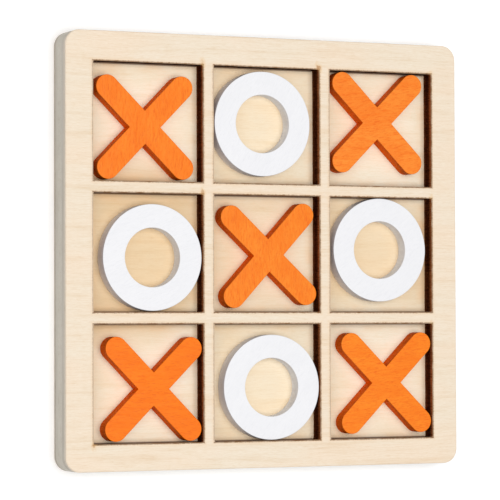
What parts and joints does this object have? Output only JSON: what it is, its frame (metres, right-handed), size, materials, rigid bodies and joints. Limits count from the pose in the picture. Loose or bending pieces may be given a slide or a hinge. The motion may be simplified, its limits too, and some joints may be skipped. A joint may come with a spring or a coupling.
{
  "type": "tic tac toe set",
  "caption": "Square plywood tic tac toe board with recessed cells, and loose crosses and rings that lie in them.",
  "frame": {"origin": "middle of the board's underside", "axes": "+Z out of the board's face, +X to the right and +Y up the board as it is read"},
  "size_m": [0.13, 0.13, 0.01],
  "materials": {
    "plywood_face": "sanded, unpainted",
    "plywood_core": "cut edge, unpainted",
    "orange_piece": "matt orange paint",
    "white_piece": "matt white paint"
  },
  "bodies": {
    "board": {"base_back_ply": "plywood_face", "base_core_ply": "plywood_core", "base_floor_ply": "plywood_face", "grid_back_ply": "plywood_face", "grid_core_ply": "plywood_core", "grid_face_ply": "plywood_face"},
    "cross_top_left": {"cross_top_left": "orange_piece"},
    "cross_top_right": {"cross_top_right": "orange_piece"},
    "cross_centre": {"cross_centre": "orange_piece"},
    "cross_bottom_left": {"cross_bottom_left": "orange_piece"},
    "cross_bottom_right": {"cross_bottom_right": "orange_piece"},
    "ring_top": {"ring_top": "white_piece"},
    "ring_left": {"ring_left": "white_piece"},
    "ring_right": {"ring_right": "white_piece"},
    "ring_bottom": {"ring_bottom": "white_piece"}
  },
  "joints": [
    {"name": "cross_top_left_lift", "type": "slide", "parent": "board", "child": "cross_top_left", "axis": [0, 0, 1], "range_m": [0, 0.025]},
    {"name": "cross_top_right_lift", "type": "slide", "parent": "board", "child": "cross_top_right", "axis": [0, 0, 1], "range_m": [0, 0.025]},
    {"name": "cross_centre_lift", "type": "slide", "parent": "board", "child": "cross_centre", "axis": [0, 0, 1], "range_m": [0, 0.025]},
    {"name": "cross_bottom_left_lift", "type": "slide", "parent": "board", "child": "cross_bottom_left", "axis": [0, 0, 1], "range_m": [0, 0.025]},
    {"name": "cross_bottom_right_lift", "type": "slide", "parent": "board", "child": "cross_bottom_right", "axis": [0, 0, 1], "range_m": [0, 0.025]},
    {"name": "ring_top_lift", "type": "slide", "parent": "board", "child": "ring_top", "axis": [0, 0, 1], "range_m": [0, 0.025]},
    {"name": "ring_left_lift", "type": "slide", "parent": "board", "child": "ring_left", "axis": [0, 0, 1], "range_m": [0, 0.025]},
    {"name": "ring_right_lift", "type": "slide", "parent": "board", "child": "ring_right", "axis": [0, 0, 1], "range_m": [0, 0.025]},
    {"name": "ring_bottom_lift", "type": "slide", "parent": "board", "child": "ring_bottom", "axis": [0, 0, 1], "range_m": [0, 0.025]}
  ]
}
